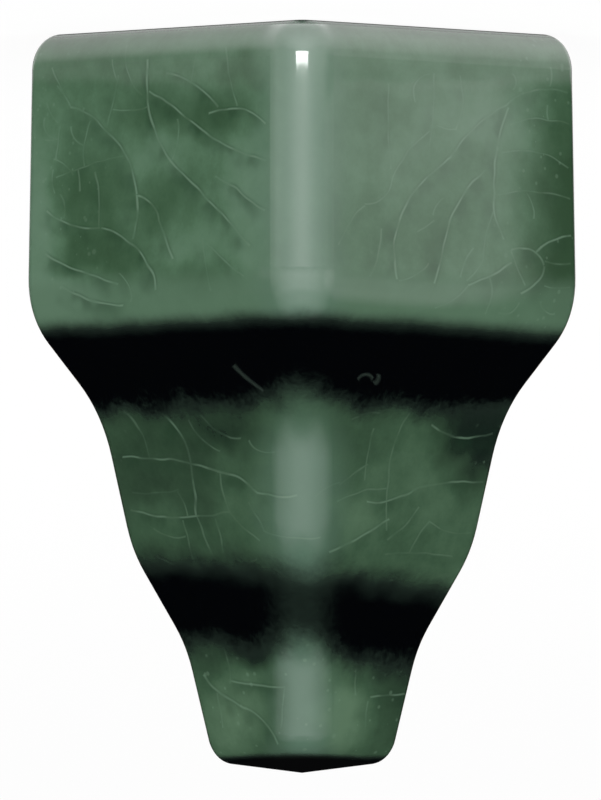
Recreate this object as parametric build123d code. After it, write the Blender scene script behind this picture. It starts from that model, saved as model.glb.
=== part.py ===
from build123d import *
from math import radians, tan
import os

# Outside-corner piece of a glazed cornice trim. It fills the square notch where two
# runs of cornice meet on the corner of a wall, so its two show faces carry the cornice
# profile and meet on a rounded arris. It is one fired body with a hollow back.
#
# The model is drawn upright, as it is fixed: the wall corner is the Z axis, the two end
# faces lie on X = 0 and Y = 0, and the arris points to +X +Y. Off the wall the narrow lip
# can't carry it, so at the end it is turned over to stand on its broad flat top.

# Heights of the members of the profile, from the top down
fascia_drop = 29.2
upper_soffit_drop = 9.6
middle_drop = 14.0
lower_soffit_drop = 9.5
lip_drop = 12.7

# How far each corner of the profile stands out from the wall
fascia_top_out = 39.7
fascia_foot_out = 40.4
middle_top_out = 29.7
middle_foot_out = 25.3
lip_top_out = 17.5
lip_foot_out = 13.2

# Rounding of the profile's corners
fascia_nose_radius = 8.9
upper_cove_radius = 16.0
middle_nose_radius = 14.0
lower_cove_radius = 14.0

# Rounding of the body's edges
arris_radius = 4.6
top_edge_radius = 3.9
foot_edge_radius = 3.4
end_edge_radius = 1.2

# The foot rises away from the wall by this angle, along each end face
foot_draft = 3.7

# Hollow back
wall = 8.0
solid_foot = 17.0
pocket_corner_radius = 4.0
pocket_nose_radius = 6.0
pocket_edge_radius = 3.0

# Levels of the profile's corners above the foot, and the full height
lip_top = lip_drop
middle_foot = lip_top + lower_soffit_drop
middle_top = middle_foot + middle_drop
fascia_foot = middle_top + upper_soffit_drop
height = fascia_foot + fascia_drop

touching = 0.001  # a point this near a plane lies on it

slope = -tan(radians(foot_draft))
mitre_plane = Plane((0, 0, 0), z_dir=(1, -1, 0))
top_plane = Plane((0, 0, height))
foot_plane = Plane((0, 0, 0), z_dir=(slope, slope, 1))
ceiling_plane = Plane((0, 0, height - wall))
floor_plane = Plane((0, 0, solid_foot))


def cornice_outline(back, upper_nose, lower_nose):
    """The cornice's section as (out, up), closed at this distance behind the wall."""
    corners = [
        (fascia_top_out, height),
        (fascia_foot_out, fascia_foot),
        (middle_top_out, middle_top),
        (middle_foot_out, middle_foot),
        (lip_top_out, lip_top),
        (lip_foot_out, 0),
    ]
    bends = [upper_nose, upper_cove_radius, lower_nose, lower_cove_radius]
    front = FilletPolyline(*corners, radius=bends)
    rest = Polyline(corners[-1], (-back, 0), (-back, height), corners[0])
    return make_face(Curve() + [front, rest])


def pocket_outline():
    """The section of the hollow: the cornice's, inset by the wall above the solid foot."""
    nose = wall + pocket_nose_radius
    deep = cornice_outline(3 * wall, nose, nose)
    above = Pos(0, solid_foot - wall + height / 2) * Rectangle(4 * height, height)
    return offset(deep & above, amount=-wall, kind=Kind.INTERSECTION)


def mitred(outline):
    """The solid that shows this outline on both its end faces, with a mitre between."""
    one_way = extrude(Plane.XZ * outline, amount=2 * fascia_foot_out, both=True)
    return one_way & mirror(one_way, about=mitre_plane)


def lies_on(edge, plane):
    """Whether an edge lies in a plane."""
    places = [edge @ 0, edge @ 0.5, edge @ 1]
    return all(abs(plane.to_local_coords(place).Z) < touching for place in places)


def edges_on(body, plane, beyond):
    """The body's edges in a plane, leaving out those no further out than this."""
    found = body.edges().filter_by(lambda edge: lies_on(edge, plane))
    return found.filter_by(lambda edge: min((edge @ 0.5).X, (edge @ 0.5).Y) > beyond)


def make_body():
    """The body with its show faces, rounded edges and sloping foot, still solid."""
    body = mitred(cornice_outline(0, fascia_nose_radius, middle_nose_radius))
    body = split(body, bisect_by=foot_plane, keep=Keep.TOP)
    body = fillet(edges_on(body, mitre_plane, touching), arris_radius)
    body = fillet(edges_on(body, top_plane, touching), top_edge_radius)
    body = fillet(edges_on(body, foot_plane, touching), foot_edge_radius)
    ends = body.edges().filter_by(lambda edge: lies_on(edge, Plane.YZ) != lies_on(edge, Plane.XZ))
    body = fillet(ends, end_edge_radius)
    return body


def make_pocket():
    """The hollow, which comes out through both end faces."""
    pocket = mitred(pocket_outline())
    pocket = fillet(edges_on(pocket, mitre_plane, touching), pocket_corner_radius)
    rims = edges_on(pocket, ceiling_plane, -wall) + edges_on(pocket, floor_plane, -wall)
    pocket = fillet(rims, pocket_edge_radius)
    return pocket


def stand_on_top(piece):
    """Turn the piece over onto its flat top, centred over the floor's origin."""
    turned = piece.rotate(Axis.X, 180)
    box = turned.bounding_box()
    return Pos(-box.center().X, -box.center().Y, -box.min.Z) * turned


tile = stand_on_top(make_body() - make_pocket())
os.makedirs("parts", exist_ok=True)
export_step(tile, "parts/cornice_corner_tile.step")
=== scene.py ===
import math

import bpy
from mathutils import Matrix, Vector


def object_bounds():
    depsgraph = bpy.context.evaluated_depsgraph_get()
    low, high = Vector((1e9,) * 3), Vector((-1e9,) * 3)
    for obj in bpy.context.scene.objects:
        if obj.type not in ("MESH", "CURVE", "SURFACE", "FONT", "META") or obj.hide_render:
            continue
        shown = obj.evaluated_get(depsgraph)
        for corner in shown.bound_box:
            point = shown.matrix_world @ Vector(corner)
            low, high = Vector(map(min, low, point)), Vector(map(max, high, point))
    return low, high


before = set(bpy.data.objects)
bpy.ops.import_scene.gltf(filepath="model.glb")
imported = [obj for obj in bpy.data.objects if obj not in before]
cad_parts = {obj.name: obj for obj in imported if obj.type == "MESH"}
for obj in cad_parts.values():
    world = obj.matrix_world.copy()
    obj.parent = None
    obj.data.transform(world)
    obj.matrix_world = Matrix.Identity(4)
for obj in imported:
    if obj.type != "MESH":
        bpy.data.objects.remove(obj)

cadLow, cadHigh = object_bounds()
mm = 0.001

# The tile stands on its flat top, foot up, and the picture shows it the other way up, as it is fixed.
# Its arris looks towards +X -Y and its end faces towards -X and +Y.
tile = {
    "nominalHeight": 75.0,  # mm, from the flat top to the lowest corner of the foot as fixed
    "arrisWay": Vector((1, -1, 0)).normalized(),
    "acrossWay": Vector((-1, -1, 0)).normalized(),  # to the right in the picture
    "arrisOut": 26.2,  # mm from the middle of the tile out to the arris of the fascia
    "arrisRound": 5.0,  # mm from there back to the middle of its rounding
}


# A number in a shader, so that masks can be written as sums
class Wire:
    def __init__(self, shade, socket):
        self.shade = shade
        self.socket = socket

    def __add__(self, other):
        return self.shade.maths("ADD", self, other)

    def __sub__(self, other):
        return self.shade.maths("SUBTRACT", self, other)

    def __rsub__(self, other):
        return self.shade.maths("SUBTRACT", other, self)

    def __mul__(self, other):
        return self.shade.maths("MULTIPLY", self, other)

    def __truediv__(self, other):
        return self.shade.maths("DIVIDE", self, other)

    __radd__ = __add__
    __rmul__ = __mul__


# Builds one node tree. Values given to node() are numbers, tuples or wires.
class Shade:
    def __init__(self, owner):
        owner.use_nodes = True
        self.tree = owner.node_tree
        self.tree.nodes.clear()

    def node(self, kind, settings=None, sockets=None, out=0):
        made = self.tree.nodes.new(kind)
        for name, value in (settings or {}).items():
            setattr(made, name, value)
        for name, value in (sockets or {}).items():
            if isinstance(value, Wire):
                self.tree.links.new(value.socket, made.inputs[name])
            else:
                made.inputs[name].default_value = value
        return Wire(self, made.outputs[out]) if made.outputs else made

    def maths(self, operation, first, second=0.0):
        return self.node("ShaderNodeMath", {"operation": operation}, {0: first, 1: second})

    def most(self, first, second):
        return self.maths("MAXIMUM", first, second)

    def least(self, first, second):
        return self.maths("MINIMUM", first, second)

    def size(self, value):  # without its sign
        return self.maths("ABSOLUTE", value)

    def step(self, value, low, high):  # 0 at low, 1 at high, smooth between; low may be the larger
        ends = {"Value": value, "From Min": low, "From Max": high}
        return self.node("ShaderNodeMapRange", {"interpolation_type": "SMOOTHSTEP"}, ends)

    def blend(self, factor, first, second):  # of two numbers
        return self.node("ShaderNodeMix", {"data_type": "FLOAT"}, {0: factor, 2: first, 3: second})

    def mix(self, factor, first, second):  # of two colours
        return self.node("ShaderNodeMix", {"data_type": "RGBA"}, {0: factor, 6: first, 7: second}, 2)

    def noise(self, place, scale, detail=2.0, roughness=0.5, out=0):
        sockets = {"Vector": place, "Scale": scale, "Detail": detail, "Roughness": roughness}
        return self.node("ShaderNodeTexNoise", {}, sockets, out)

    def vector(self, operation, first, second=(0, 0, 0), third=None, out=0):
        sockets = {0: first, 1: second}
        if third is not None:
            sockets[2] = third
        return self.node("ShaderNodeVectorMath", {"operation": operation}, sockets, out)

    def scaled(self, vector, factor):
        return self.node("ShaderNodeVectorMath", {"operation": "SCALE"}, {0: vector, "Scale": factor})

    def dot(self, first, second):
        return self.vector("DOT_PRODUCT", first, second, out=1)

    def three(self, value):  # the same number in all parts of a vector
        return self.node("ShaderNodeCombineXYZ", {}, {0: value, 1: value, 2: value})

    def parts(self, vector):
        split = self.node("ShaderNodeSeparateXYZ", {}, {0: vector})
        return [Wire(self, socket) for socket in split.socket.node.outputs]

    def rays(self):  # which kind of ray it is, by name
        outputs = self.node("ShaderNodeLightPath").socket.node.outputs
        return {output.name: Wire(self, output) for output in outputs}


# The crackle. Each crack is an arc through three places, given as across and up from the foot in mm.
crackle = {
    "deep": [
        (-23.7, 67.2, -19.2, 63.8, -16.8, 57.7), (-16.8, 57.7, -16.8, 55.7, -17.2, 53.4),
        (-15.8, 71.7, -15.5, 66.1, -13.4, 61.1), (-13.4, 61.1, -9.6, 56.8, -5.4, 52.0),
        (-12.0, 65.7, -8.3, 62.7, -3.8, 60.5), (-13.8, 70.0, -10.5, 68.4, -8.7, 66.3),
        (-15.6, 68.3, -13.7, 67.1, -12.0, 65.7), (-9.6, 65.6, -7.1, 66.1, -3.6, 64.2),
        (-26.1, 56.6, -23.8, 55.1, -20.7, 54.6), (-20.7, 54.6, -17.4, 53.0, -14.9, 47.7),
        (-26.3, 52.3, -22.8, 50.3, -18.9, 48.8), (-24.5, 48.7, -21.4, 47.2, -18.3, 46.6),
        (-16.7, 57.7, -15.4, 56.9, -14.6, 55.1), (-14.6, 55.1, -13.8, 52.8, -13.2, 51.2),
        (-8.7, 59.3, -5.8, 57.1, -3.8, 55.5), (27.3, 68.8, 23.9, 69.0, 21.0, 67.3),
        (21.0, 67.3, 17.3, 64.4, 15.2, 61.4), (15.2, 61.4, 12.1, 58.6, 9.9, 54.9),
        (9.9, 54.9, 9.4, 52.0, 9.7, 48.8), (21.2, 67.0, 19.9, 62.7, 19.7, 58.0),
        (19.7, 58.0, 19.8, 55.6, 20.6, 53.4), (18.6, 60.3, 16.4, 57.7, 15.0, 54.9),
        (15.0, 54.9, 14.4, 52.2, 13.4, 48.6), (23.9, 52.2, 25.0, 53.3, 27.5, 54.2),
        (21.3, 52.3, 23.5, 52.4, 24.7, 50.9), (24.7, 50.9, 23.9, 49.1, 22.4, 47.9),
        (21.3, 51.0, 19.5, 49.8, 17.0, 48.5), (-18.3, 31.8, -14.2, 31.5, -8.5, 30.0),
        (-8.5, 30.0, -6.3, 29.0, -4.5, 27.7), (-4.5, 27.7, -3.1, 27.2, -0.6, 27.3),
        (-16.0, 37.0, -13.4, 35.2, -11.8, 32.3), (-11.8, 32.3, -11.1, 28.8, -10.8, 25.7),
        (-17.5, 26.4, -12.6, 25.6, -7.3, 25.9), (6.6, 26.8, 9.3, 27.2, 11.4, 28.2),
        (11.4, 28.2, 13.9, 29.0, 18.5, 29.3), (13.2, 34.8, 15.2, 33.8, 19.7, 34.3),
        (2.8, 21.6, 5.7, 23.2, 8.8, 25.1), (-10.2, 9.9, -8.4, 8.0, -5.8, 6.3),
        (-5.8, 6.3, -3.7, 4.7, -2.5, 2.6), (-7.4, 9.1, -5.1, 8.6, -1.7, 8.3),
        (5.8, 10.8, 8.5, 10.8, 11.2, 11.0), (7.0, 7.5, 8.5, 7.7, 10.4, 8.0),
    ],
    "faint": [
        (-7.6, 72.4, -7.3, 69.0, -6.7, 66.3), (-10.7, 72.3, -11.1, 69.9, -11.4, 69.0),
        (-17.8, 73.1, -17.6, 69.8, -16.3, 67.9), (-18.8, 70.1, -19.2, 67.6, -19.8, 65.0),
        (-19.2, 66.7, -17.6, 66.5, -15.8, 66.8), (-18.7, 49.9, -17.8, 48.9, -17.5, 46.8),
        (-25.0, 60.1, -22.3, 61.0, -18.3, 61.8), (-21.7, 65.5, -22.3, 63.3, -22.3, 61.1),
        (-24.7, 65.2, -25.0, 63.4, -25.2, 61.9), (-21.1, 60.3, -20.7, 57.4, -20.8, 54.7),
        (-12.6, 65.3, -12.5, 63.3, -13.2, 61.3), (-10.0, 52.9, -9.8, 50.2, -9.3, 47.7),
        (-9.6, 52.4, -7.6, 50.3, -6.0, 48.9), (-25.4, 61.9, -24.1, 61.2, -23.5, 60.2),
        (-25.1, 69.5, -24.2, 68.3, -23.6, 67.2), (19.7, 56.3, 18.9, 54.2, 18.5, 51.3),
        (18.5, 51.3, 17.8, 50.1, 16.8, 49.0), (13.0, 64.0, 11.0, 62.1, 9.2, 58.9),
        (9.2, 58.9, 8.1, 57.0, 6.3, 56.2), (13.5, 70.0, 13.4, 66.0, 12.9, 62.1),
        (11.5, 66.8, 11.5, 68.6, 13.2, 70.0), (16.1, 69.9, 16.3, 67.3, 15.7, 64.5),
        (8.8, 68.7, 8.8, 63.1, 9.0, 60.0), (21.3, 65.3, 24.4, 66.0, 27.3, 65.6),
        (20.4, 62.4, 24.2, 62.5, 27.3, 61.1), (19.9, 57.9, 24.6, 58.5, 27.4, 58.0),
        (24.8, 51.4, 26.2, 51.2, 27.5, 51.3), (12.8, 50.6, 11.9, 49.4, 9.9, 48.6),
        (8.1, 53.9, 7.7, 51.2, 7.0, 48.9), (6.3, 56.0, 4.8, 54.2, 3.7, 51.9),
        (17.0, 48.5, 15.2, 46.9, 13.5, 46.1), (21.4, 52.3, 21.9, 50.8, 22.7, 48.8),
        (-18.3, 36.4, -16.5, 34.2, -15.7, 31.7), (-10.4, 35.7, -9.0, 34.3, -6.3, 33.1),
        (-11.6, 35.2, -10.1, 33.2, -8.3, 31.9), (-5.5, 32.9, -4.5, 31.8, -2.6, 31.7),
        (-8.3, 29.8, -8.0, 27.8, -7.2, 25.7), (-7.2, 25.7, -6.0, 24.2, -4.3, 22.9),
        (-5.4, 26.8, -4.5, 25.1, -3.9, 23.8), (-3.9, 23.8, -1.9, 23.1, 1.8, 23.0),
        (-17.3, 28.3, -15.0, 28.1, -12.7, 28.4), (-12.7, 28.2, -11.9, 26.6, -11.7, 25.6),
        (-12.2, 25.2, -11.6, 22.6, -11.3, 21.4), (-10.8, 25.7, -9.9, 23.4, -9.1, 21.2),
        (-15.2, 24.5, -13.9, 23.8, -12.1, 23.5), (-8.8, 25.3, -8.3, 23.4, -8.1, 21.9),
        (-15.1, 21.9, -10.5, 19.9, -4.5, 21.2), (3.7, 26.7, 5.6, 27.7, 8.6, 28.3),
        (11.9, 37.2, 10.0, 34.1, 9.1, 31.1), (9.1, 31.1, 8.7, 28.0, 8.6, 24.0),
        (7.3, 34.2, 6.6, 31.5, 6.4, 29.0), (5.2, 35.1, 6.4, 35.5, 7.8, 35.7),
        (3.9, 28.5, 5.2, 29.6, 6.6, 30.5), (8.8, 23.1, 10.3, 24.5, 11.9, 26.5),
        (11.0, 22.0, 11.9, 23.7, 13.0, 25.2), (13.0, 25.2, 14.8, 24.3, 17.3, 24.2),
        (8.6, 21.6, 11.7, 21.9, 15.4, 21.7), (1.4, 27.3, 2.7, 28.2, 3.9, 28.7),
        (9.1, 19.1, 11.1, 18.6, 13.4, 17.7), (7.3, 17.3, 8.1, 18.1, 9.1, 19.1),
        (5.8, 12.9, 5.7, 10.9, 5.5, 7.7), (6.7, 7.0, 6.6, 5.5, 6.5, 4.2),
        (-8.4, 13.6, -7.6, 10.9, -7.4, 8.9), (-1.7, 8.2, -2.0, 5.6, -2.2, 4.3),
        (-8.6, 7.9, -8.3, 5.9, -8.1, 4.5), (7.0, 15.5, 9.1, 15.9, 11.4, 15.8),
        (-26.1, 67.7, -25.6, 66.6, -24.9, 65.7), (-26.3, 66.2, -26.2, 64.8, -25.2, 63.8),
        (-23.6, 65.2, -23.2, 63.8, -22.4, 63.3), (-25.5, 60.8, -25.4, 59.4, -25.2, 58.5),
        (-24.6, 58.3, -24.2, 57.1, -24.4, 55.8), (-26.3, 63.9, -25.6, 63.8, -25.0, 63.9),
        (-23.0, 60.7, -22.8, 59.5, -22.7, 58.6), (-19.4, 71.7, -19.2, 70.3, -18.9, 69.6),
        (-25.6, 71.3, -25.0, 69.9, -24.2, 68.3), (24.8, 48.9, 26.2, 48.7, 27.4, 48.9),
        (24.6, 47.6, 24.7, 46.4, 26.1, 46.4), (20.1, 45.9, 21.3, 46.1, 22.2, 47.0),
        (19.1, 49.5, 19.3, 47.7, 18.8, 45.7), (25.0, 67.5, 25.0, 66.8, 25.2, 66.1),
        (25.5, 71.3, 25.6, 70.4, 25.4, 69.5), (23.0, 58.2, 23.5, 57.1, 23.6, 55.8),
        (21.3, 70.4, 21.9, 69.5, 21.5, 68.8), (13.7, 64.7, 14.8, 64.5, 15.8, 64.6),
        (11.9, 53.6, 12.6, 54.2, 13.5, 54.9), (17.5, 52.3, 16.6, 51.0, 16.1, 49.4),
        (14.4, 57.3, 13.7, 56.6, 13.4, 55.5),
    ],
    "coveMarks": [
        (-6.8, 40.1, -5.3, 38.8, -4.0, 37.8), (5.7, 38.8, 6.4, 39.4, 7.3, 38.9),
        (7.5, 38.6, 7.8, 38.9, 7.9, 39.3),
    ],
    "straightest": 300.0,  # mm, the radius of a crack that is nearly straight
    "darkSide": (-0.4, -1),  # the side of a crack that gets the painted shade: the lower side as fixed, as if each crack were a small step lit from above
    "shadeShorter": 1.5,  # mm that the shade ends before the crack does
    "shadeSharper": -6.0,  # how much faster it stops on the other side, where distances are negative
    # mm from a crack at which its line and its shade start and are full
    "deepLine": (0.16, 0.02),
    "faintLine": (0.14, 0.0),
    "deepShade": (2.4, -0.2),
    "faintShade": (1.7, -0.2),
    "markLine": (0.28, 0.0),
}


def arcThrough(crack):  # centre, radius, top and half length of the arc through three places
    first, middle, last = Vector(crack[0:2]), Vector(crack[2:4]), Vector(crack[4:6])
    chord = last - first
    normal = Vector((-chord.y, chord.x)).normalized()
    rise = (middle - (first + last) / 2).dot(normal)
    half = chord.length / 2
    flattest = half * half / (2 * crackle["straightest"])
    if abs(rise) < flattest:
        rise = math.copysign(flattest, rise)
    radius = (half * half + rise * rise) / (2 * abs(rise))
    top = (first + last) / 2 + normal * rise
    return top - normal * math.copysign(radius, rise), radius, top, max(half, abs(rise))


# Squared distance of three numbers x and y from three places
def squareFrom(s, x, y, places):
    gapX = s.vector("SUBTRACT", x, [place.x for place in places])
    gapY = s.vector("SUBTRACT", y, [place.y for place in places])
    return s.vector("MULTIPLY_ADD", gapY, gapY, s.vector("MULTIPLY", gapX, gapX))


# How far a place is from the nearest crack, in mm, and from its side that gets painted shade.
# Three cracks go through each vector node, one in each of its parts.
def crackDistances(s, at, cracks):
    x, y = s.three(at.crackX), s.three(at.crackY)
    line = shade = (9, 9, 9)
    for start in range(0, len(cracks), 3):
        centres, radii, tops, halves = zip(*[arcThrough(crack) for crack in cracks[start:start + 3]])
        sides = []
        for top, centre in zip(tops, centres):
            sides.append(math.copysign(1, (top - centre).dot(Vector(crackle["darkSide"]))))
        slopes = [side / (2 * radius) for side, radius in zip(sides, radii)]
        starts = [-side * radius / 2 for side, radius in zip(sides, radii)]
        off = s.vector("MULTIPLY_ADD", squareFrom(s, x, y, centres), slopes, starts)
        slopes = [0.5 / half for half in halves]
        starts = [-half / 2 for half in halves]
        beyond = s.vector("MULTIPLY_ADD", squareFrom(s, x, y, tops), slopes, starts)
        here = s.vector("MAXIMUM", s.vector("ABSOLUTE", off), beyond)
        line = s.vector("MINIMUM", here, line)
        beside = s.vector("MAXIMUM", off, s.scaled(off, crackle["shadeSharper"]))
        within = s.vector("ADD", beyond, [crackle["shadeShorter"]] * 3)
        shade = s.vector("MINIMUM", s.vector("MAXIMUM", beside, within), shade)
    nearest = []
    for distances in (line, shade):
        first, second, third = s.parts(distances)
        nearest.append(s.least(s.least(first, second), third))
    return nearest


glaze = {
    # The mottling turns one colour into others, each with the tones where it starts and where it is full
    "fascia": (0.076, 0.147, 0.088, 1),
    "fasciaTones": [
        (0.3, -1.2, (0.042, 0.090, 0.048, 1)),
        (-0.8, -2.0, (0.028, 0.062, 0.031, 1)),
        (-0.4, 1.2, (0.106, 0.182, 0.122, 1)),
    ],
    # painted shade: the lower members face a little downwards under the fascia and are darker
    "shadedLowMembers": (0.044, 0.090, 0.051, 1),
    "shadedLowTones": [
        (0.5, -1.2, (0.024, 0.050, 0.028, 1)),
        (-0.8, -2.2, (0.007, 0.014, 0.010, 1)),
        (-0.2, 1.6, (0.085, 0.150, 0.092, 1)),
    ],
    # thinner glaze with a painted highlight on the arris, and thinner glaze with painted light on the
    # nose
    "thinAndHighlight": (0.086, 0.150, 0.110, 1),
    "nose": (0.082, 0.145, 0.094, 1),
    # painted shade on the rounded end edges
    "shadedEndEdge": (0.007, 0.014, 0.010, 1),
    # pooled glaze and painted shade in the coves and under the foot
    "pooledAndShaded": (0.0006, 0.0009, 0.0014, 1),
    "pooledAndShadedEdge": (0.010, 0.017, 0.013, 1),
    "crackLine": (0.130, 0.210, 0.145, 1),
    # painted shade on the lower side of the cracks
    "crackShade": (0.012, 0.034, 0.017, 1),
    "coveMark": (0.030, 0.044, 0.036, 1),
    "roughness": 0.06,
    # Noises: scale per mm, detail, roughness
    "clouds": (0.075, 2.0, 0.55),
    "blotches": (0.35, 3.0, 0.6),
    "grain": (2.6, 2.0, 0.6),
    "wander": 0.6,  # mm that cracks and patches wander
    "fasciaEnds": (43.0, 39.0),  # mm up from the foot, as the next ones are
    "noseTop": (50.5, 48.0),
    "noseFoot": (42.0, 45.0),
    "stripe": (6.0, 0.4),  # mm off the arris where the thinner glaze and the painted highlight start and are full
    "ovalMiddle": 28.0,
    "ovalHalfLength": (4.0, 9.5),
    "ovalTop": (30.5, 36.5),
    "ovalNarrower": 1.6,
    "speckedEnds": (17.0, 23.0),  # mm off the arris
    "speckedLip": (16.0, 11.0),
    # Where the pooled glaze and its painted shade start and are full, in mm up from the foot
    "upperPoolAndShadeTop": (46.4, 42.8),
    "upperPoolAndShadeFoot": (33.7, 38.8),
    "lowerPoolAndShadeTop": (23.0, 16.8),
    "lowerPoolAndShadeFoot": (8.4, 14.5),
    "footPoolAndShade": (2.0, 0.9),
    # Places where the glaze is darker or paler: across, up, half width, half height in mm, and how much
    # the dark patches at the right end of the fascia are painted shade, and the pale one just left of
    # the arris on the fascia is painted light
    "patches": [
        (-9.0, 65.5, 7.0, 3.5, -1.2), (-15.5, 66.5, 4.5, 4.0, -0.9), (-22.0, 58.0, 6.5, 7.0, -0.9),
        (-21.0, 51.5, 7.5, 4.5, -1.2), (-14.0, 56.5, 4.0, 5.0, -0.7), (-10.0, 49.0, 6.5, 2.8, -0.8),
        (-15.0, 62.0, 5.0, 4.5, 0.5), (-12.0, 52.8, 5.0, 4.0, 0.5), (-13.0, 70.5, 16.0, 4.0, -0.4),
        (28.0, 58.5, 7.0, 17.0, -2.1), (12.5, 53.0, 6.0, 7.0, -0.6), (24.5, 49.0, 5.0, 5.0, -1.0),
        (-27.5, 55.0, 4.5, 16.0, 1.3), (-24.5, 47.5, 6.0, 4.5, 1.4), (18.0, 66.0, 8.0, 5.0, 0.7),
        (-5.0, 56.0, 4.0, 11.0, 0.9), (-6.0, 69.5, 4.0, 3.0, -0.9), (28.5, 50.0, 4.0, 9.0, -1.2),
        (8.0, 66.0, 5.0, 5.0, -0.4), (5.5, 25.0, 4.0, 4.0, 0.6), (-14.5, 25.5, 4.0, 4.0, 0.9),
        (-14.0, 31.0, 14.0, 15.0, -1.1), (-7.5, 34.5, 7.0, 4.0, -0.7), (-5.5, 27.5, 6.5, 7.0, 0.6),
        (12.5, 28.5, 9.0, 9.0, 0.3), (18.5, 34.5, 7.0, 9.0, -2.6), (6.5, 33.0, 6.0, 5.0, -0.3),
        (-6.5, 6.0, 5.0, 6.5, 1.0), (10.0, 8.5, 5.5, 9.0, -0.9), (4.0, 5.5, 4.0, 5.5, 1.8),
        (-5.0, 12.3, 3.5, 3.2, -2.6), (8.0, 13.0, 5.0, 2.5, -1.2), (-9.5, 12.0, 3.0, 3.0, -0.6),
    ],
    "waves": 0.05,  # mm
    "ripples": 0.006,
}

clay = {
    "light": (0.56, 0.47, 0.35, 1),
    "dark": (0.38, 0.29, 0.20, 1),
    "roughness": 0.85,
    "grain": 0.09,  # mm
    "sand": 0.03,
    # Beyond these, in mm up from the foot, are the flat top and the underside, which are glazed
    "bareTop": (71.5, 70.5),
    "bareFoot": (2.2, 3.0),
}


# Where a place on the tile is, in mm, and the noises that are used more than once
class TilePlace:
    def __init__(self, s):
        self.place = s.scaled(s.node("ShaderNodeTexCoord", out=3), 1 / mm)
        self.across = s.dot(self.place, tuple(tile["acrossWay"]))
        self.up = tile["nominalHeight"] - s.dot(self.place, (0, 0, 1))
        self.off = s.size(self.across)  # to either side of the arris
        self.below = s.step(self.up, *glaze["fasciaEnds"])  # 1 on the middle member and the lip
        self.clouds = s.noise(self.place, *glaze["clouds"])
        self.blotches = s.noise(self.place, *glaze["blotches"])
        self.unrest = self.blotches - 0.5
        wander = s.vector("SUBTRACT", s.noise(self.place, 0.3, 1.0, out=1), (0.5, 0.5, 0.5))
        self.wanderX, self.wanderY = s.parts(s.scaled(wander, glaze["wander"]))[:2]
        self.crackX = self.across + self.wanderX
        self.crackY = self.up + self.wanderY


# Adds up the patches at a place, three to each vector node
def patchTone(s, x, y, patches):
    xThree, yThree = s.three(x), s.three(y)
    tone = 0.0
    for start in range(0, len(patches), 3):
        acrosses, ups, wides, highs, strengths = zip(*patches[start:start + 3])
        gapX = s.vector("DIVIDE", s.vector("SUBTRACT", xThree, acrosses), wides)
        gapY = s.vector("DIVIDE", s.vector("SUBTRACT", yThree, ups), highs)
        square = s.vector("MULTIPLY_ADD", gapY, gapY, s.vector("MULTIPLY", gapX, gapX))
        left = s.vector("MAXIMUM", s.vector("SUBTRACT", (1, 1, 1), square), (0, 0, 0))
        tone = tone + s.dot(s.vector("MULTIPLY", left, left), strengths)
    return tone


def toned(s, tone, colour, tones):  # turns a colour into others as the tone changes
    for start, full, goal in tones:
        colour = s.mix(s.step(tone, start, full), colour, goal)
    return colour


# Big soft clouds, smaller blotches, a fine grain and the patches, some of which are painted light and
# shade. Painted shade makes it darker on the lower members, which face a little downwards under the
# fascia.
def mottledGlaze(s, at):
    grain = s.noise(at.place, *glaze["grain"])
    tone = at.clouds * 1.6 + at.blotches * 1.1 + grain * 0.3 - 1.6
    patchX = at.crackX + at.wanderX * 4.0
    patchY = at.crackY + at.wanderY * 4.0
    tone = tone + patchTone(s, patchX, patchY, glaze["patches"])
    high = toned(s, tone, glaze["fascia"], glaze["fasciaTones"])
    low = toned(s, tone, glaze["shadedLowMembers"], glaze["shadedLowTones"])
    return s.mix(at.below, high, low)


# The glaze is thinner and paler on the nose of the fascia and on the arris, where it makes a long stripe
# and two ovals. Part of this is painted light: a painted highlight on the stripe and the ovals, and
# painted light on the nose.
def thinGlazeAndHighlight(s, at, colour):
    nose = s.step(at.up + at.unrest * 1.5, *glaze["noseTop"]) * s.step(at.up, *glaze["noseFoot"])
    colour = s.mix(nose * 0.7, colour, glaze["nose"])
    start, full = glaze["stripe"]
    awayFromOval = s.step(s.size(at.up - glaze["ovalMiddle"]), *glaze["ovalHalfLength"]) * at.below
    thinAndHighlight = s.step(at.off + at.unrest * 2.5, start - glaze["ovalNarrower"] * awayFromOval, full)
    thinAndHighlight = thinAndHighlight * (0.72 - 0.52 * s.step(at.up, *glaze["ovalTop"]) * at.below)
    return s.mix(thinAndHighlight, colour, glaze["thinAndHighlight"]), thinAndHighlight


# Each crack is a pale line with painted shade on its lower side, as if lit from above, and comes and
# goes along its length
def crackedGlaze(s, at, colour, thinAndHighlight):
    deepLine, deepShade = crackDistances(s, at, crackle["deep"])
    faintLine, faintShade = crackDistances(s, at, crackle["faint"])
    fade = s.step(s.noise(at.place, 0.4, 1.0), 0.36, 0.62) * 0.75 + 0.25
    deep = s.step(deepLine, *crackle["deepLine"])
    lines = s.most(deep, s.step(faintLine, *crackle["faintLine"]) * 0.6) * fade
    deep = s.step(deepShade, *crackle["deepShade"])
    shades = s.most(deep, s.step(faintShade, *crackle["faintShade"]) * 0.6) * fade
    share = 0.5 - 0.12 * s.step(at.across, 0.0, 6.0) - 0.5 * thinAndHighlight
    colour = s.mix(shades * share, colour, glaze["crackShade"])
    return s.mix(lines * (0.72 - 0.22 * at.below), colour, glaze["crackLine"])


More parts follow.
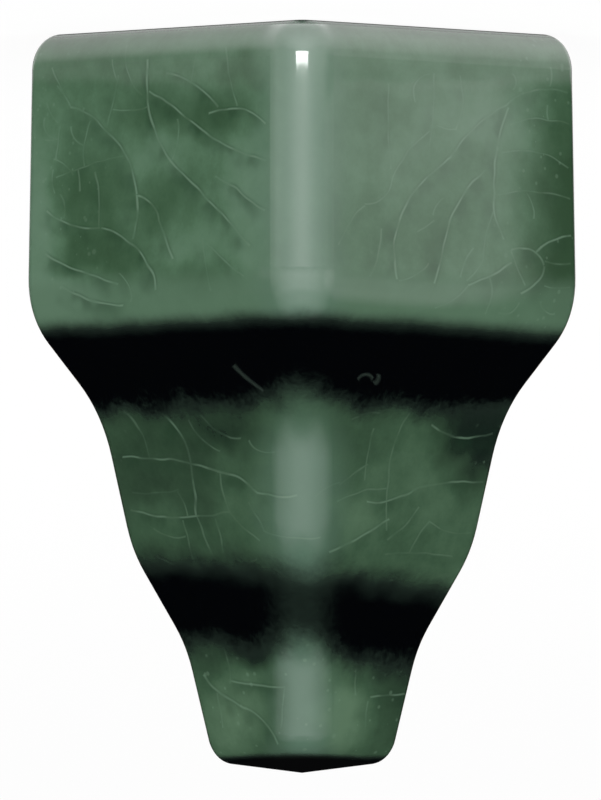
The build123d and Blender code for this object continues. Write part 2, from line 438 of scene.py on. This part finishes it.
# Pinholes and pale specks towards the ends and on the lip, and painted shade along the very end, where
# the rounded end edge turns away from the light
def speckledGlaze(s, at, colour):
    pin = s.node("ShaderNodeTexVoronoi", {"feature": "F1"}, {"Vector": at.place, "Scale": 0.8})
    pinSize = s.noise(at.place, 0.45, 1.0) * 0.6 - 0.12
    atEnds = s.step(at.off + (at.clouds - 0.5) * 10, *glaze["speckedEnds"])
    onLip = s.step(at.up, *glaze["speckedLip"])
    pins = s.step(pin / s.most(pinSize, 0.02), 1.0, 0.4) * s.most(atEnds, onLip)
    colour = s.mix(pins * 0.3, colour, glaze["crackLine"])
    x, y = s.parts(at.place)[:2]
    toEnd = s.least(x - cadLow.x / mm, cadHigh.y / mm - y)
    return s.mix(s.step(toEnd + at.unrest * 0.8, 0.75, 0.35) * 0.8, colour, glaze["shadedEndEdge"])


# The glaze has run into the two coves and under the foot, and painted shade is added there, as these
# face downwards as fixed and lie in shade, so they are nearly black
def pooledAndShadedGlaze(s, at, colour):
    mottle = s.noise(at.place, 1.7, 3.0, 0.65) - 0.5
    ragged = (s.noise(at.place, 0.25, 2.0) - 0.5) * 3.0 + mottle * 1.3
    atArris = s.step(at.off, 5.5, 0.5)
    leaning = at.up + s.most(at.across, 0.0) * 0.02
    start, full = glaze["upperPoolAndShadeFoot"]
    upper = s.step(leaning + ragged * 0.25, *glaze["upperPoolAndShadeTop"])
    upper = upper * s.step(at.up + ragged, start, atArris * 2.4 + full)
    slanted = at.up + at.across * 0.1
    lower = s.step(slanted + ragged * 0.8, *glaze["lowerPoolAndShadeTop"])
    lower = lower * s.step(slanted + ragged - atArris, *glaze["lowerPoolAndShadeFoot"])
    lower = lower * (1 - 0.36 * atArris)
    foot = s.step(at.up + ragged * 0.1, *glaze["footPoolAndShade"])
    pooledAndShaded = s.most(s.most(upper, lower), foot)
    colour = s.mix(s.step(pooledAndShaded, 0.0, 0.65), colour, glaze["pooledAndShadedEdge"])
    colour = s.mix(s.step(pooledAndShaded + mottle * 0.3, 0.5, 0.95), colour, glaze["pooledAndShaded"])
    mark = s.step(crackDistances(s, at, crackle["coveMarks"])[0], *crackle["markLine"])
    return s.mix(mark * (at.blotches + 0.1), colour, glaze["coveMark"])


# Bare clay on the end faces and in the hollow, with a wavy edge where the glaze stopped and a few
# specks of glaze on it. Gives where it is bare, its colour and its sandy height.
def bareClay(s, at):
    normal = s.node("ShaderNodeNewGeometry", out=1)
    facing = s.dot(normal, tuple(tile["arrisWay"]))
    grain = s.noise(at.place, 1.6, 4.0, 0.7)
    tone = s.noise(at.place, 0.12, 3.0, 0.6)
    colour = s.mix(s.step(tone * 0.6 + grain * 0.5, 0.35, 0.8), clay["light"], clay["dark"])
    within = s.step(at.up, *clay["bareTop"]) * s.step(at.up, *clay["bareFoot"])
    edge = s.blend(within, -0.32, 0.08) + (s.noise(at.place, 0.5, 2.0) - 0.5) * 0.3
    bare = s.step(facing - edge, 0.06, -0.06)
    specks = s.step(s.noise(at.place, 0.9, 2.0, 0.7), 0.70, 0.74) * s.step(tone, 0.5, 0.62)
    sandy = grain * clay["grain"] + s.noise(at.place, 4.0, 2.0) * clay["sand"]
    return bare * (1 - specks), colour, sandy


def glazeMaterial(material):
    s = Shade(material)
    at = TilePlace(s)
    colour, thinAndHighlight = thinGlazeAndHighlight(s, at, mottledGlaze(s, at))
    colour = crackedGlaze(s, at, colour, thinAndHighlight)
    colour = pooledAndShadedGlaze(s, at, speckledGlaze(s, at, colour))
    bare, clayColour, sandy = bareClay(s, at)
    wavy = s.noise(at.place, 0.12, 1.0) * glaze["waves"] + at.blotches * glaze["ripples"]
    height = s.blend(bare, wavy, sandy)
    glossy = glaze["roughness"] + 0.05 * at.blotches
    sockets = {
        "Base Color": s.mix(bare, colour, clayColour),
        "Roughness": s.blend(bare, glossy, clay["roughness"]),
        "IOR": 1.5,
        "Normal": s.node("ShaderNodeBump", {}, {"Strength": 1.0, "Distance": mm, "Height": height}),
    }
    surface = s.node("ShaderNodeBsdfPrincipled", {}, sockets)
    s.node("ShaderNodeOutputMaterial", {}, {"Surface": surface})


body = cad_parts["cornice_corner_tile"]
glazeMaterial(body.data.materials[0])
print("glaze and clay done")


# Where a place on the floor or on a lamp is, in mm from under the middle of the tile
class RoomPlace:
    def __init__(self, s):
        place = s.scaled(s.node("ShaderNodeNewGeometry", out=0), 1 / mm)
        self.across = s.dot(place, tuple(tile["acrossWay"]))
        self.out = s.dot(place, tuple(tile["arrisWay"]))
        self.x, self.y, self.up = s.parts(place)


# A place on the floor, and how it lies from the show faces and from the arris
class FloorPlace(RoomPlace):
    def __init__(self, s):
        super().__init__(s)
        self.fromFaces = s.most(self.x, 0 - self.y) - cadHigh.x / mm
        self.rightwards = s.step(self.across, -6.0, 6.0)
        ahead = s.most(self.out - tile["arrisOut"] + tile["arrisRound"], 0.0)
        self.reach = s.maths("SQRT", self.across * self.across + ahead * ahead + 1.0)
        self.turned = ahead / self.reach  # 1 straight in front of the arris and 0 at the sides
        self.leftTurned = (ahead - self.across * 0.12) / self.reach  # the same, more to the left


# A pale floor that is white to the camera and keeps the tile's shadow. Reflections find it white in
# front of the arris and close to the tile, and find black paper at the sides and under the tile's edge.
ground = {
    "halfSize": 12.0,
    "colour": (0.86, 0.86, 0.86, 1),
    "whiteShare": 0.90,
    "strength": 1.04,
    "underEdge": (-3.85, -3.3),  # mm from the show faces
    "inFront": (0.12, 0.6),  # how far round from the side to straight in front
    "closeLeft": 4.0,  # mm from the show faces
    "closeRight": 30.0,
    "fullRight": 4.0,
}


def makeSheet(name, corners, material):  # a flat one with four corners
    mesh = bpy.data.meshes.new(name)
    mesh.from_pydata(corners, [], [(0, 1, 2, 3)])
    mesh.materials.append(material)
    sheet = bpy.data.objects.new(name, mesh)
    bpy.context.collection.objects.link(sheet)
    return sheet


def makeFloor():
    material = bpy.data.materials.new("paleFloor")
    s = Shade(material)
    at = FloorPlace(s)
    widening = ground["closeRight"] - ground["closeLeft"]
    start = at.rightwards * widening + ground["closeLeft"]
    close = s.step(at.fromFaces, start, at.rightwards * ground["fullRight"])
    clear = s.most(close, s.step(at.leftTurned, *ground["inFront"]))
    clear = s.step(at.fromFaces, *ground["underEdge"]) * clear
    rays = s.rays()
    shown = s.most(rays["Is Camera Ray"], rays["Is Glossy Ray"] * clear)
    shown = s.most(shown, rays["Is Transmission Ray"])
    plain = s.node("ShaderNodeBsdfDiffuse", {}, {"Color": ground["colour"]})
    white = s.node("ShaderNodeEmission", {}, {"Strength": ground["strength"]})
    sockets = {0: shown * ground["whiteShare"], 1: plain, 2: white}
    surface = s.node("ShaderNodeMixShader", {}, sockets)
    s.node("ShaderNodeOutputMaterial", {}, {"Surface": surface})
    half = ground["halfSize"]
    corners = [(-half, -half, 0), (half, -half, 0), (half, half, 0), (-half, half, 0)]
    floor = makeSheet("floor", corners, material)


# The room: white along the horizon, dark above, and a wide soft window in front
room = {
    "ceiling": 0.005,
    "horizon": 1.0,
    "horizonTop": (0.09, 0.40),  # how high the white goes behind the tile and in front of it
    "windowLow": 3.6,
    "windowHigh": 2.1,
    "windowTurn": (0.45, 0.66),  # how high it goes from the one strength to the other
    "windowTop": (1.0, 0.72),
    "windowFoot": (0.0, 0.25),  # where it gets weaker towards the horizon
}


def makeWorld():
    world = bpy.data.worlds.new("studio")
    bpy.context.scene.world = world
    s = Shade(world)
    way = s.node("ShaderNodeTexCoord", out=0)
    rise = s.dot(way, (0, 0, 1))
    front = s.dot(way, tuple(tile["arrisWay"]))
    level = s.maths("SQRT", s.most(1 - rise * rise, 0.0001))
    turned = front / level  # 1 straight in front, 0 at the sides, -1 behind
    top = s.blend(s.step(turned, -0.9, -0.2), *room["horizonTop"])
    horizon = s.step(rise / top, 1.0, 0.0) * room["horizon"]
    window = s.blend(s.step(rise, *room["windowTurn"]), room["windowLow"], room["windowHigh"])
    window = window * s.step(rise, *room["windowTop"]) * s.most(turned, 0.0)
    window = window * (0.6 + 0.4 * s.step(rise, *room["windowFoot"]))
    rays = s.rays()
    white = s.most(rays["Is Camera Ray"], rays["Is Transmission Ray"])
    strength = s.most(horizon + window + room["ceiling"], white)
    sky = s.node("ShaderNodeBackground", {}, {"Strength": strength})
    s.node("ShaderNodeOutputWorld", {}, {"Surface": sky})


# A panel lamp. Where it is only there for the gloss or only for the light, the other is switched off.
def makeLamp(name, place, aim, size, radiance, gloss=True, light=True):
    data = bpy.data.lights.new(name, "AREA")
    data.shape = "RECTANGLE"
    data.size, data.size_y = size
    data.energy = radiance * math.pi * size[0] * size[1]
    lamp = bpy.data.objects.new(name, data)
    bpy.context.collection.objects.link(lamp)
    away = (Vector(place) - Vector(aim)).normalized()
    right = tile["acrossWay"]
    if abs(away.dot(right)) > 0.9:
        right = tile["arrisWay"]
    above = away.cross(right).normalized()
    turn = Matrix((above.cross(away), above, away)).transposed().to_4x4()
    lamp.matrix_world = Matrix.Translation(place) @ turn
    lamp.visible_camera = False
    lamp.visible_glossy = gloss
    lamp.visible_diffuse = light
    return lamp


# Gives a lamp a strength that changes over it
def feather(lamp, shape):
    s = Shade(lamp.data)
    glow = s.node("ShaderNodeEmission", {}, {"Strength": shape(s)})
    s.node("ShaderNodeOutputLight", {}, {"Surface": glow})


lamps = {
    "aimUp": 0.04,  # m, the height at which the two broad lamps look
    "keyPlace": (1.1, 0.3),  # m, out to the front and up
    "keySize": (1.2, 0.5),
    "keyRadiance": 1.2,
    "backPlace": (-0.9, 1.2),
    "backSize": (0.8, 0.8),
    "backRadiance": 2.0,
    "floorUp": 0.0005,  # m
    "floorSize": (3.0, 3.0),
    "floorAhead": 1.75,  # the panel on the floor in front, which shines in the arris
    "floorWide": 0.95,  # its wider and weaker part
    "floorAround": 1.25,  # its part close round the tile, which shines in the rounded top edge
    # Where its parts start and are full, in mm from the arris and then from the show faces
    "floorEnds": (1450.0, 1100.0),
    "floorClose": (6.0, 0.0),
    "floorRight": (70.0, 8.0),
    "floorUnder": (-3.3, -0.7),
    "cardPlace": (0.075, 0.036, 0.037),  # m, across to the right, out to the front and up
    "cardSize": (0.078, 0.076),
    "cardLow": 1.1,  # the card on the right, which shines in the right face of the fascia
    "cardHigh": 0.9,  # and, higher up, in its nose
    "cardNear": (1.0, 9.0),  # mm out to the front, where it starts and is full
    "cardFar": (74.0, 54.0),
    "glintAhead": 0.0195,  # m in front of the arris
    "glintUp": 0.001,
    "glintSize": (0.02, 0.026),
    "glintRadiance": 26,
    "glintEdge": (1.5, 0.8),  # mm to either side, where it starts and is full
    "glintWidens": 0.25,  # away from the tile, because the arris shrinks it there
    "glintNear": (7.0, 8.4),  # mm in front of the arris
    "glintFar": (31.0, 28.0),
}


def floorPanelShape(s):
    at = FloorPlace(s)
    square = at.turned * at.turned
    fan = square * square * square * square * lamps["floorAhead"]
    fan = fan + s.step(at.leftTurned, *ground["inFront"]) * lamps["floorWide"]
    close = s.step(at.fromFaces, *lamps["floorClose"]) * 0.75
    close = close + s.step(at.fromFaces, *lamps["floorRight"]) * at.rightwards * 0.6
    close = close * s.step(at.fromFaces, *lamps["floorUnder"])
    return fan * s.step(at.reach, *lamps["floorEnds"]) + close * lamps["floorAround"]


def cardShape(s):
    at = RoomPlace(s)
    low = s.step(at.up, 36.0, 20.0) + s.step(at.up, 16.0, 4.0) * 0.3
    low = low * (0.65 + 0.35 * s.step(at.out, 32.0, 14.0))
    high = s.step(at.up, 22.0, 38.0) * s.step(at.up, 72.0, 52.0)
    ends = s.step(at.out, *lamps["cardNear"]) * s.step(at.out, *lamps["cardFar"])
    return ends * (low * lamps["cardLow"] + high * lamps["cardHigh"])


def glintShape(s):
    at = RoomPlace(s)
    ahead = at.out - tile["arrisOut"]
    edge = s.size(at.across) - lamps["glintWidens"] * ahead
    ends = s.step(ahead, *lamps["glintNear"]) * s.step(ahead, *lamps["glintFar"])
    return s.step(edge, *lamps["glintEdge"]) * ends


def makeLamps():
    front = tile["arrisWay"]
    side = tile["acrossWay"]
    up = Vector((0, 0, 1))
    aim = up * lamps["aimUp"]
    out, rise = lamps["keyPlace"]
    place = front * out + up * rise
    makeLamp("key", place, aim, lamps["keySize"], lamps["keyRadiance"], gloss=False)
    panel = makeLamp("floorPanel", up * lamps["floorUp"], up, lamps["floorSize"], 1.0, light=False)
    feather(panel, floorPanelShape)
    place = front * (tile["arrisOut"] * mm + lamps["glintAhead"]) + up * lamps["glintUp"]
    glint = makeLamp("glint", place, place + up, lamps["glintSize"], lamps["glintRadiance"], light=False)
    feather(glint, glintShape)
    across, out, rise = lamps["cardPlace"]
    place = side * across + front * out + up * rise
    card = makeLamp("sideCard", place, place - side, lamps["cardSize"], 1.0, light=False)
    feather(card, cardShape)
    out, rise = lamps["backPlace"]
    place = front * out + up * rise
    makeLamp("backFill", place, aim, lamps["backSize"], lamps["backRadiance"], gloss=False)


# Two black cards at the sides that are only there in reflections. They keep the fascia deep green.
flags = {"across": 78.0, "near": -50.0, "far": 25.0, "top": 50.0}  # mm


def makeFlags():
    material = bpy.data.materials.new("blackCard")
    s = Shade(material)
    black = s.node("ShaderNodeBsdfDiffuse", {}, {"Color": (0.01, 0.01, 0.01, 1)})
    s.node("ShaderNodeOutputMaterial", {}, {"Surface": black})
    near, far = tile["arrisWay"] * flags["near"], tile["arrisWay"] * flags["far"]
    top = Vector((0, 0, flags["top"]))
    for name, across in (("flagLeft", -flags["across"]), ("flagRight", flags["across"])):
        side = tile["acrossWay"] * across
        corners = [side + near, side + far, side + far + top, side + near + top]
        flag = makeSheet(name, [corner * mm for corner in corners], material)
        flag.visible_camera = False
        flag.visible_diffuse = False
        flag.visible_shadow = False


# Where the tile is in the picture, in pixels. Much further off, the other views would lose the tile.
picture = {
    "width": 601,
    "height": 800,
    "mmPerPixel": 0.10235,
    "axisX": 302,
    "baseY": 778.8,
    "looksUp": 2.78,  # degrees, at the tile as fixed
    "distance": 2.9,  # m
    "silhouette": 0.028,  # m that the outline stands in front of the wall corner
}


def makeCamera():
    below = math.radians(picture["looksUp"])
    toCamera = tile["arrisWay"] * math.cos(below) + Vector((0, 0, math.sin(below)))
    up = (picture["baseY"] - picture["height"] / 2) * picture["mmPerPixel"]
    offset = (picture["width"] / 2 - picture["axisX"]) * picture["mmPerPixel"]
    target = Vector((cadLow.x, cadHigh.y, (tile["nominalHeight"] - up) * mm))
    target += tile["acrossWay"] * offset * mm
    data = bpy.data.cameras.new("camera")
    data.sensor_width = 36
    away = picture["distance"] - picture["silhouette"]
    data.lens = data.sensor_width * away / (picture["height"] * picture["mmPerPixel"] * mm)
    data.clip_end = 50
    camera = bpy.data.objects.new("camera", data)
    bpy.context.collection.objects.link(camera)
    right = tile["acrossWay"]
    turn = Matrix((right, toCamera.cross(right), toCamera)).transposed().to_4x4()
    camera.matrix_world = Matrix.Translation(target + toCamera * picture["distance"]) @ turn
    bpy.context.scene.camera = camera


makeFloor()
makeWorld()
makeLamps()
makeFlags()
makeCamera()
bpy.context.scene.view_settings.view_transform = "Standard"
print("floor, room, lamps and camera done")
